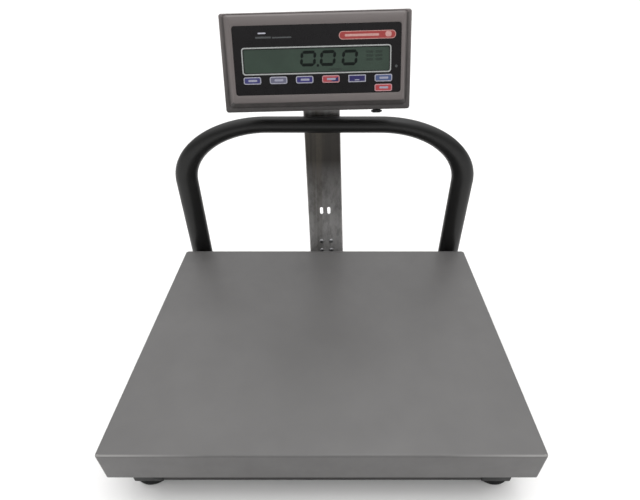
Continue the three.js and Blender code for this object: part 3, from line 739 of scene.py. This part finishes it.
def printed_marks():
    """Plain bars where a real face has words, with no lettering."""
    front = OVERLAY["front"] - 0.12
    back = OVERLAY["front"] - 0.01
    face_piece("badge_outline", PINK_INK, (67.0, 29.6, 73.0, 9.8, 4.6, front, back))
    face_piece("badge_bar", RED_INK, (67.0, 29.6, 71.4, 8.2, 3.9, front - 0.1, front - 0.01))
    face_piece("badge_stripe", PINK_INK,
               (60.0, 29.5, 44.0, 2.9, 1.2, front - 0.2, front - 0.11),
               (94.0, 30.0, 8.0, 6.4, 2.8, front - 0.2, front - 0.11))
    face_piece("title_bar", LABEL_INK, (-68.5, 34.4, 10.0, 1.7, 0.6, front, back))
    face_piece("title_lines", DIM_INK,
               (-67.0, 29.4, 20.0, 2.2, 0.6, front, back),
               (-43.0, 29.0, 25.0, 1.7, 0.5, front, back))
    face_piece("corner_mark", DIM_INK, (104.6, -8.4, 3.4, 3.4, 1.6, front, back))


def window_outline():
    """The silver line round the display window."""
    def ring(margin, radius, depth):
        width, height = LCD["width"] + margin, LCD["height"] + margin
        return facing(ring_2d(width, height, radius, 10, LCD["x"], LCD["z"]), depth)

    bm = bmesh.new()
    skin(bm, [ring(4.4, 4.0, -11.8), ring(4.4, 4.0, -11.9), ring(3.8, 3.7, -12.0), ring(1.8, 2.9, -12.0),
              ring(1.2, 2.6, -11.9), ring(1.2, 2.6, -11.8)], closed=True)
    stand_in(to_object(bm, "window_outline", FACE), "window_trim", SILVER_INK)


def display_module():
    bm = bmesh.new()
    width, height = LCD["width"] - 0.6, LCD["height"] - 0.6
    rounded_slab(bm, LCD["x"], LCD["z"], width, height, 2.2, LCD["front"], -3.0, 0.1)
    stand_in(to_object(bm, "display_panel", FACE), "display", LOOKS["display_glass"])


SEGMENT_DEPTHS = (LCD["front"] - 0.1, LCD["front"] - 0.02)
FIGURE = {"centres": (-9.9, 15.8, 44.2), "half_width": 8.4, "half_height": 7.6, "stroke": 3.6, "slant": 0.11}
ZERO_SEGMENTS = (
    ((-1, 1), (1, 1)), ((-1, -1), (1, -1)), ((-1, 0), (-1, 1)),
    ((-1, -1), (-1, 0)), ((1, 0), (1, 1)), ((1, -1), (1, 0)),
)


def segment_outline(start, end):
    """A six-sided bar between two corners of the figure, pointed at both ends."""
    a, b = (Vector((u * FIGURE["half_width"], v * FIGURE["half_height"])) for u, v in (start, end))
    along = (b - a).normalized()
    across = Vector((-along.y, along.x)) * FIGURE["stroke"] / 2
    tip, shoulder = along * FIGURE["stroke"] * 0.06, along * FIGURE["stroke"] * 0.56
    return [a + tip, a + shoulder - across, b - shoulder - across,
            b - tip, b - shoulder + across, a + shoulder + across]


def slanted_zero(bm, centre_x, centre_z):
    """Adds the six lit segments of one figure."""
    front, back = SEGMENT_DEPTHS
    for segment in ZERO_SEGMENTS:
        points = [(centre_x + p.x + FIGURE["slant"] * p.y, centre_z + p.y) for p in segment_outline(*segment)]
        skin(bm, [facing(points, back), facing(points, front)])


def display_figures():
    """The reading 0.00 in dark segments, and the small unit marks that show faintly."""
    middle = LCD["z"] + 2.1
    lit = bmesh.new()
    for x in FIGURE["centres"]:
        slanted_zero(lit, x, middle)
    rounded_slab(lit, FIGURE["centres"][0] + 12.4, middle - 8.6, 3.0, 2.8, 0.7, *SEGMENT_DEPTHS, 0.02)
    head_trim(lit, "display_figures", "display_glass", SEGMENT_INK)

    faint = bmesh.new()
    for row in range(3):
        for x in (70.0, 82.0):
            rounded_slab(faint, x, middle + 6.5 - 4.6 * row, 9.0, 2.6, 0.5, *SEGMENT_DEPTHS, 0.02)
    rounded_slab(faint, 25.5, LCD["z"] - 11.4, 17.0, 1.6, 0.4, *SEGMENT_DEPTHS, 0.02)
    head_trim(faint, "display_unit_marks", "display_glass", FAINT_SEGMENT)


def key_places():
    """Key centres on the face, from the CAD keys."""
    places = []
    for i in range(7):
        low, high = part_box(f"key_{i + 1}")
        middle = TO_FACE @ ((low + high) / 2)
        places.append((middle.x, middle.z))
    return places


def keypad():
    """Seven embossed keys: a pale rim, a coloured domed centre and a plain bar for a label."""
    for i, (x, z) in enumerate(key_places()):
        node = f"key_{i + 1}"
        body, slot = body_of[node], slot_of[node]
        square = i == 4
        red = i in (3, 6)
        width, height = KEY["width"], KEY["height"]
        bm = bmesh.new()
        rounded_slab(bm, x, z, width, height, 0.6 if square else 2.4, -12.2, -9.8, 0.3)
        stand_in(to_object(bm, f"key_rim_{i + 1}", FACE), node, KEY_RIM_RED if red else KEY_RIM)
        bm = bmesh.new()
        rounded_slab(bm, x, z, width - 2.6, height - 2.4, 0.3 if square else 1.3, -12.32, -12.1, 0.12)
        trim(bm, f"key_centre_{i + 1}", body, slot, KEY_INKS[i], FACE)
        bm = bmesh.new()
        if square:
            rounded_slab(bm, x, z - 1.8, 6.0, 1.3, 0.4, -12.4, -12.2, 0.04)
        else:
            rounded_slab(bm, x + 0.6, z, 11.5, 2.6, 0.8, -12.4, -12.2, 0.04)
        trim(bm, f"key_label_{i + 1}", body, slot, KEY_LABEL, FACE)
    two_tone_corner(*key_places()[3])


def two_tone_corner(x, z):
    """The blue half of the fourth key's centre, below its diagonal."""
    half_width, half_height = KEY["width"] / 2 - 1.6, KEY["height"] / 2 - 1.5
    corners = [(x - half_width * 0.1, z - half_height), (x + half_width, z - half_height),
               (x + half_width, z + half_height * 0.9)]
    bm = bmesh.new()
    skin(bm, [facing(corners, -12.3), facing(corners, -12.38)])
    trim(bm, "key_corner_4", body_of["key_4"], slot_of["key_4"], KEY_INKS[4], FACE)


# ---- the rest of the mechanism

def screw_mesh(radius, height):
    """A domed cross-recess head, its base at the origin and its crown towards +Z."""
    profile = [(0, 0), (radius, 0), (radius, height * 0.25)]
    steps = 6
    for i in range(1, steps + 1):
        angle = i / steps * math.pi / 2
        profile.append((radius * math.cos(angle), height * (0.25 + 0.75 * math.sin(angle))))
    head = to_object(turned(profile, 28), "screw_blank", Matrix.Identity(4))
    cutter = bmesh.new()
    arm, half = radius * 0.55, radius * 0.11
    cross = [(arm, -half), (arm, half), (half, half), (half, arm), (-half, arm), (-half, half),
             (-arm, half), (-arm, -half), (-half, -half), (-half, -arm), (half, -arm), (half, -half)]
    skin(cutter, [level([(x * 0.6, y * 0.6) for x, y in cross], height * 0.3), level(cross, height * 1.4)])
    boolean(head, to_object(cutter, "screw_cross", Matrix.Identity(4)), "DIFFERENCE")
    mesh = head.data
    bpy.data.objects.remove(head)
    return mesh


def add_copies(bm, mesh, places):
    """Adds one mesh again and again, each time by a matrix in millimetres."""
    for place in places:
        copy = mesh.copy()
        copy.transform(place)
        bm.from_mesh(copy)
        bpy.data.meshes.remove(copy)


def pointing(location, direction, spin=0.0):
    """A matrix that puts +Z along a direction."""
    turn = Vector(direction).to_track_quat("Z", "Y").to_matrix().to_4x4()
    return Matrix.Translation(location) @ turn @ Matrix.Rotation(spin, 4, "Z")


def column_screws():
    """Four screws through the column's web, each a cross-recess head on a plain shank."""
    mesh = screw_mesh(4.0, 2.4)
    for i in range(4):
        node = f"column_screw_{i + 1}"
        low, high = box_mm(node)
        middle = (low + high) / 2
        tip = high.y - low.y - 1.9
        whole = turned([(0, 0), (2.2, 0), (2.2, tip - 0.4), (1.6, tip), (0, tip)], 16)
        shank_place = pointing((middle.x, low.y + 1.9, middle.z), (0, 1, 0))
        bmesh.ops.transform(whole, matrix=shank_place, verts=whole.verts)
        add_copies(whole, mesh, [pointing((middle.x, low.y + 2.4, middle.z), (0, -1, 0), 0.5 + i * 1.1)])
        stand_in(to_object(whole, f"column_screw_head_{i + 1}"), node, LOOKS["zinc_steel"])


def socket_caps(name, places, radius, height):
    """Socket head cap screws with a hexagon recess, at points and directions in the row frame."""
    profile = [(0, 0), (radius, 0), (radius, height - 0.6), (radius - 0.6, height), (radius * 0.62, height),
               (radius * 0.56, height - 0.4)]
    blank = to_object(turned(profile, 28), "cap_blank", Matrix.Identity(4))
    cutter = bmesh.new()
    hexagon = circle(radius * 0.54, 6)
    skin(cutter, [level(hexagon, height * 0.35), level(hexagon, height * 1.5)])
    boolean(blank, to_object(cutter, "cap_socket", Matrix.Identity(4)), "DIFFERENCE")
    whole = bmesh.new()
    add_copies(whole, blank.data, [pointing(*place) for place in places])
    bpy.data.objects.remove(blank)
    trim(whole, name, "base", "zinc_steel")


def load_cell_fittings():
    """The cell's four bolts and a blank plate."""
    low, high = box_mm("load_cell")
    middle_x = (low.x + high.x) / 2
    beam_top = box_mm("cell_beam")[1].z
    seat_top = box_mm("platform_frame")[0].z + 4.0
    for place, spacer, z, up in (("upper", "cell_spacer_upper", seat_top + 0.1, 1),
                                 ("lower", "cell_spacer_lower", beam_top - 3.1, -1)):
        spacer_low, spacer_high = box_mm(spacer)
        y = (spacer_low.y + spacer_high.y) / 2
        bolts = [((middle_x + dx, y, z), (0, 0, up)) for dx in (-11.0, 11.0)]
        socket_caps(f"cell_bolts_{place}", bolts, 4.6, 6.0)

    bm = bmesh.new()
    rounded_slab(bm, middle_x, (low.z + high.z) / 2, 26.0, 14.0, 1.5, low.y - 0.35, low.y - 0.02, 0.1)
    trim(bm, "cell_plate", "base", "zinc_steel", PLATE_INK)


def foot_pads():
    """Ribbed rubber pads on the levelling studs."""
    for corner in CORNERS:
        node = f"foot_pad_{corner}"
        low, high = box_mm(node)
        centre = (low + high) / 2
        radius, height = (high.x - low.x) / 2, high.z - low.z
        profile = [(0, 0.7), (radius * 0.55, 0.7), (radius * 0.6, 0.0), (radius - 1.4, 0.0),
                   (radius - 0.4, 0.5), (radius, 1.5), (radius, 2.4), (radius - 0.5, 2.7),
                   (radius - 0.5, 3.1), (radius, 3.4),
                   (radius, 4.4), (radius - 0.6, 5.2), (radius - 4, 8.0), (radius - 8, height - 1.2),
                   (radius - 10.2, height - 0.2), (radius - 11, height), (6.1, height), (5.7, height - 0.4),
                   (5.7, 5.1), (0, 5.1)]
        pad = turned(profile, 48, (centre.x, centre.y, low.z))
        stand_in(to_object(pad, f"foot_pad_ribbed_{corner}"), node, LOOKS["rubber"])


def foot_studs():
    """A threaded stud with a chamfered hexagon collar."""
    collar_low, collar_high, across = FOOT_COLLAR["low"], FOOT_COLLAR["high"], FOOT_COLLAR["radius"]
    for corner in CORNERS:
        node = f"foot_stud_{corner}"
        low, high = box_mm(node)
        centre = Vector(((low.x + high.x) / 2, (low.y + high.y) / 2, 0))
        profile = [(0, low.z), (3.6, low.z), (4.9, low.z + 1.4), (4.9, collar_low + 0.4)]
        z = collar_high
        while z < high.z - THREAD_PITCH:
            profile += [(4.25, z), (4.93, z + THREAD_PITCH * 0.4), (4.93, z + THREAD_PITCH * 0.55)]
            z += THREAD_PITCH
        profile += [(4.2, high.z - 0.7), (3.7, high.z), (0, high.z)]
        rod = to_object(turned(profile, 24, centre), f"foot_stud_threaded_{corner}", Matrix.Identity(4))
        collar = [(across - 0.7, collar_low), (across, collar_low + 0.5), (across, collar_high - 0.5),
                  (across - 0.7, collar_high), (4.6, collar_high), (4.6, collar_low)]
        hexagon = to_object(turned(collar, 6, centre, closed=True), "hexagon", Matrix.Identity(4))
        boolean(rod, hexagon, "UNION")
        rod.data.transform(ROW)
        rod.data.polygons.foreach_set("use_smooth", [True] * len(rod.data.polygons))
        rod.data.set_sharp_from_angle(angle=math.radians(28))
        stand_in(rod, node, LOOKS["zinc_steel"])


# How far each ring of a plug stands out of the tube, and how far it is inside the tube's outline
CAP_PROFILE = ((-6.0, 2.2), (0.1, 2.2), (0.1, 0.0), (1.0, 0.0), (1.6, 0.8))


def end_cap(name, low, high, place):
    """A plug with a lip, for a tube's section from low to high. place gives a point beyond the tube's end."""
    middle, size = (low + high) / 2, high - low
    rings = []
    for reach, inset in CAP_PROFILE:
        outline = ring_2d(size.x - 2 * inset, size.y - 2 * inset, 1.2, 4, *middle)
        rings.append([place(reach, u, v) for u, v in outline])
    bm = bmesh.new()
    skin(bm, rings)
    trim(bm, f"end_cap_{name}", "base", "base_paint", CAP_PLASTIC)


def end_caps():
    """Plastic plugs in the open ends of the rear beam, the platform frame's bars and the side rails."""
    low, high = box_mm("platform_frame")
    bars = (
        ("beam", *box_mm("base_beam_rear")),
        ("front_bar", low, Vector((high.x, low.y + FRAME_BAR, high.z))),
        ("back_bar", Vector((low.x, high.y - FRAME_BAR, low.z)), high),
    )
    for name, low, high in bars:
        end_cap(f"{name}_left", low.yz, high.yz, lambda reach, u, v: (low.x - reach, u, v))
        end_cap(f"{name}_right", low.yz, high.yz, lambda reach, u, v: (high.x + reach, u, v))
    for side in ("left", "right"):
        low, high = box_mm(f"base_rail_{side}")
        end_cap(f"rail_{side}", low.xz, high.xz, lambda reach, u, v: (u, low.y - reach, v))


def base_welds():
    """Fillet beads where the base's tubes meet each other and the column bracket."""
    rear_high = box_mm("base_beam_rear")[1]
    front_low, front_high = box_mm("base_beam_front")
    bm = bmesh.new()
    for side in ("left", "right"):
        low, high = box_mm(f"base_rail_{side}")
        back, z = high.y, high.z - 0.2
        weld_bead(bm, line_path((low.x + 1, back, z), (high.x - 1, back, z), 1.6), 1.5)
        inner, z = low.x if low.x > 0 else high.x, front_high.z - 0.2
        weld_bead(bm, line_path((inner, front_low.y + 2, z), (inner, front_high.y - 2, z), 1.6), 1.4)
    trim(bm, "base_welds", "base", "base_paint")
    low, high = box_mm("column_bracket")
    bm = bmesh.new()
    y = rear_high.y + 0.6
    for x in (low.x, high.x):
        weld_bead(bm, line_path((x, y, low.z + 2), (x, y, rear_high.z - 1), 1.6), 1.3)
    trim(bm, "bracket_welds", "base", "base_paint")


def rail_washers():
    """Washers under the rail bolts."""
    for side in ("left", "right"):
        low, high = box_mm(f"rail_bolt_{side}")
        seat = box_mm(f"rail_foot_{side}")[1].z
        section = [(5.6, 0.02), (7.2, 0.02), (7.4, 0.1), (7.2, 0.28), (5.6, 0.28)]
        washer = turned(section, 32, ((low.x + high.x) / 2, (low.y + high.y) / 2, seat), closed=True)
        trim(washer, f"rail_washer_{side}", "base", "zinc_steel")


def rear_details():
    """On the back of the head: four screws, a row of vent ribs, a plate with plain bars, the gland's nut."""
    back = HEAD["depth"]
    places = [pointing((sx * COVER_SCREWS["x"], back, sz * COVER_SCREWS["z"]), (0, 1, 0), 0.4 + sx + 0.7 * sz)
              for sx in (-1, 1) for sz in (-1, 1)]
    bm = bmesh.new()
    add_copies(bm, screw_mesh(3.4, 1.6), places)
    head_trim(bm, "cover_screws", "zinc_steel")

    bm = bmesh.new()
    for i in range(7):
        z = -20.0 + 6.0 * i
        outline = ring_2d(46.0, 2.6, 1.2, 4, 66.0, z)
        inner = ring_2d(45.0, 1.6, 0.7, 4, 66.0, z)
        skin(bm, [facing(outline, back - 0.05), facing(outline, back + 0.7), facing(inner, back + 1.2)])
    head_trim(bm, "vent_ribs", "head_plastic")

    x, z = REAR_PLATE["x"], REAR_PLATE["z"]
    bm = bmesh.new()
    outline = ring_2d(REAR_PLATE["width"], REAR_PLATE["height"], 2.0, 5, x, z)
    skin(bm, [facing(outline, back + 0.02), facing(outline, back + 0.3)])
    head_trim(bm, "rating_plate", "zinc_steel", PLATE_INK)
    bm = bmesh.new()
    for i, width in enumerate((38.0, 26.0, 34.0)):
        outline = ring_2d(width, 1.6, 0.6, 3, x + 20.0 - width / 2, z + 7.0 - 6.5 * i)
        skin(bm, [facing(outline, back + 0.3), facing(outline, back + 0.36)])
    head_trim(bm, "rating_plate_bars", "overlay_film", DIM_INK)

    section = [(6.0, 0.05), (7.6, 0.05), (8.0, 0.5), (8.0, 1.9), (7.6, 2.3), (6.0, 2.3)]
    bm = turned(section, 6, closed=True)
    bmesh.ops.transform(bm, matrix=pointing((HINGE_X, back, 0), (0, 1, 0)), verts=bm.verts)
    head_trim(bm, "gland_nut", "rubber")


def jack_collar():
    """The ring that holds the charger jack in the underside of the head."""
    low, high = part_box("charger_jack")
    middle = TO_FACE @ ((low + high) / 2)
    section = [(5.75, 3.4), (7.6, 3.4), (7.6, 1.6), (7.0, 0.9), (5.75, 0.9)]
    collar = turned(section, 36, (middle.x, middle.y, middle.z - 9.6), closed=True)
    head_trim(collar, "jack_collar", "rubber")


def board_parts():
    """Chips, a relay, a connector and capacitors on the main board, each placed by shares of its size."""
    corners = [TO_FACE @ Vector(v.co) for v in frame["nodes"]["main_board"].data.vertices]
    x0, x1 = min(c.x for c in corners), max(c.x for c in corners)
    z0, z1 = min(c.z for c in corners), max(c.z for c in corners)
    face = min(c.y for c in corners)
    bm = bmesh.new()
    for u, v, w, h, deep in ((0.3, 0.5, 18, 18, 2.0), (0.62, 0.7, 10, 6, 1.6), (0.62, 0.3, 8, 5, 1.6),
                             (0.85, 0.5, 9, 16, 3.0), (0.12, 0.85, 12, 6, 3.0)):
        rounded_slab(bm, x0 + u * (x1 - x0), z0 + v * (z1 - z0), w, h, 0.4, face - deep, face - 0.05, 0.15, 2)
    head_trim(bm, "board_chips", "battery_case")


# The cable's route, in millimetres from the middle of the pan: the CAD part's points, chosen one by one
CABLE_RADIUS = 2.5
CABLE_LINE_Y = 245
CABLE_START = [(0, 75.3, 64.5), (0, 90, 63.5), (0, 106, 54), (0.5, 122, 43), (1, 140, 39), (2, 170, 39),
               (2.2, 200, 39), (2.2, 226, 39), (2.2, 238, 44), (2.2, 245, 58)]
CABLE_IN_COLUMN = [(CABLE_LINE_Y, 85), (CABLE_LINE_Y, 160), (CABLE_LINE_Y, 240), (CABLE_LINE_Y, 320),
                   (CABLE_LINE_Y, 376), (241, 396), (231, 406)]


def from_pan_middle(x, y, z):
    """A point of the route in the row frame's millimetres."""
    low, high = box_mm("pan")
    return Vector((x, y + (low.y + high.y) / 2, z))


def on_mast(y, z):
    """A point of the route inside the column, which leans."""
    point = from_pan_middle(0, y, z)
    return Vector(((TO_MM @ (MAST @ point)).x, point.y, z))


def signal_cable():
    """The lead from the load cell through the rear beam and up the column, and its free end in the head."""
    pivot = Vector(joints["head_tilt"]["pos_m"]) / MM
    end = pivot + Vector((0, 2.5, 0))
    points = [from_pan_middle(*point) for point in CABLE_START]
    points += [on_mast(*point) for point in CABLE_IN_COLUMN]
    bm = bmesh.new()
    tube(bm, smooth_curve([*points, end], 10), circle(CABLE_RADIUS - 0.02, 14))
    stand_in(to_object(bm, "signal_cable"), "cell_cable", LOOKS["cable_jacket"])

    gland = TO_MM @ (FACE @ Vector((HINGE_X, HINGE_DEPTH - 16.0, 0)))
    neck = [end + Vector((0, 0.6, -0.4)), end, pivot, pivot.lerp(gland, 0.5), gland]
    bm = bmesh.new()
    tube(bm, smooth_curve(neck, 8), circle(CABLE_RADIUS + 0.15, 14))
    piece = to_object(bm, "cable_neck")
    piece.data.materials.append(LOOKS["cable_jacket"])
    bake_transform(piece)


def cable_ties():
    """Two nylon ties round the cable, each with its lock towards the column's open back."""
    bm = bmesh.new()
    inner = CABLE_RADIUS + 0.5
    section = ((inner, -2), (inner + 0.9, -2), (inner + 0.9, 2), (inner, 2))
    for height in TIE_HEIGHTS:
        centre = TO_MM @ (MAST @ from_pan_middle(0, CABLE_LINE_Y, height))
        skin(bm, [[centre + Vector((a * radius, b * radius, z)) for radius, z in section]
                  for a, b in circle(1.0, 28)], closed=True)
        lock = centre.y + inner + 0.2
        rounded_slab(bm, centre.x, centre.z, 6.0, 6.4, 0.8, lock, lock + 4.0, 0.4, 3)
    trim(bm, "cable_ties", "base", "rubber", CAP_PLASTIC)


def plain_hardware():
    """Pieces whose CAD shape only needs its finish and broken edges, in groups by how wide those are."""
    tubes_and_plates = ("base_rail_left", "base_rail_right", "base_beam_front", "base_beam_rear", "cell_beam",
                        "platform_frame", "column_bracket", "rail_foot_left", "rail_foot_right")
    blocks = ("load_cell", "cell_spacer_lower", "cell_spacer_upper", "tilt_bracket", "column")
    small_parts = ("rail_bolt_left", "rail_bolt_right", "pivot_screw", "main_board", "battery", "cable_gland",
                   "charger_jack", "power_switch", "tilt_knob")
    under_pan = [f"{name}_{corner}" for corner in CORNERS for name in ("overload_stop", "pan_bumper")]
    for width, nodes in ((0.5, tubes_and_plates), (0.3, blocks), (0.25, small_parts), (0.3, under_pan)):
        for node in nodes:
            edged_copy(node, width, LOOKS[slot_of[node]])


# ---- stage, light and camera

HORIZON = 0.95
FLOOR_GAP = 0.0004


def floor():
    bm = bmesh.new()
    bmesh.ops.create_grid(bm, x_segments=8, y_segments=8, size=6000.0)
    obj = to_object(bm, "floor")
    obj.location.z = cad_box[0].z - FLOOR_GAP
    obj.data.materials.append(floor_look())


def softbox():
    data = bpy.data.lights.new("softbox", "AREA")
    data.shape = "RECTANGLE"
    data.size, data.size_y = 1.3, 1.1
    data.energy = 9.0
    obj = add_object("softbox", data)
    obj.location = (0.4, -0.1, 2.3)
    aim = Vector((0, 0, 0.1)) - obj.location
    obj.rotation_euler = aim.to_track_quat("-Z", "Y").to_euler()


def map_range(tree, source, start, end, low, high):
    """A number that eases from low to high as the source goes from start to end."""
    node = tree.nodes.new("ShaderNodeMapRange")
    node.interpolation_type = "SMOOTHSTEP"
    tree.links.new(source, node.inputs["Value"])
    for name, value in zip(("From Min", "From Max", "To Min", "To Max"), (start, end, low, high)):
        node.inputs[name].default_value = value
    return node.outputs["Result"]


def lighting():
    """A pale room: white down at the horizon, dimmer walls, a bright ceiling, and a softbox overhead."""
    world = bpy.data.worlds.new("studio")
    bpy.context.scene.world = world
    world.use_nodes = True
    tree = world.node_tree
    direction = tree.nodes.new("ShaderNodeTexCoord")
    split = tree.nodes.new("ShaderNodeSeparateXYZ")
    tree.links.new(direction.outputs["Generated"], split.inputs["Vector"])
    ceiling = map_range(tree, split.outputs["Z"], 0.3, 0.92, 0.54, 2.0)
    back = map_range(tree, split.outputs["Y"], -0.9, 0.6, 0.62, 1.1)
    room = tree.nodes.new("ShaderNodeMath")
    room.operation = "MULTIPLY"
    tree.links.new(ceiling, room.inputs[0])
    tree.links.new(back, room.inputs[1])
    mix = tree.nodes.new("ShaderNodeMix")
    tree.links.new(map_range(tree, split.outputs["Z"], 0.02, 0.26, 0.0, 1.0), mix.inputs["Factor"])
    mix.inputs["A"].default_value = HORIZON
    tree.links.new(room.outputs[0], mix.inputs["B"])
    background = tree.nodes["Background"]
    background.inputs["Color"].default_value = (1.0, 1.0, 1.0, 1.0)
    tree.links.new(mix.outputs["Result"], background.inputs["Strength"])
    softbox()
    bpy.context.scene.view_settings.view_transform = "Standard"


def camera():
    """In front of the pan and a little right of its centre, looking down."""
    low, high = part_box("pan")
    pan_top = Vector(((low.x + high.x) / 2, (low.y + high.y) / 2, high.z))
    data = bpy.data.cameras.new("camera")
    data.sensor_width = 36.0
    data.lens = CAMERA["lens"]
    data.shift_x = CAMERA["shift"]
    data.clip_start = 0.02
    obj = add_object("camera", data)
    obj.location = pan_top + Vector(CAMERA["offset"])
    obj.rotation_euler = (math.radians(90.0 - CAMERA["down"]), 0.0, 0.0)
    bpy.context.scene.camera = obj


camera()
floor()
lighting()
pan_shell()
guard_rail()
bezel()
rear_cover()
overlay_sheet()
printed_marks()
window_outline()
display_module()
display_figures()
keypad()
pan_corner_seams()
column_screws()
load_cell_fittings()
foot_pads()
foot_studs()
end_caps()
base_welds()
rail_washers()
rear_details()
jack_collar()
board_parts()
signal_cable()
cable_ties()
plain_hardware()
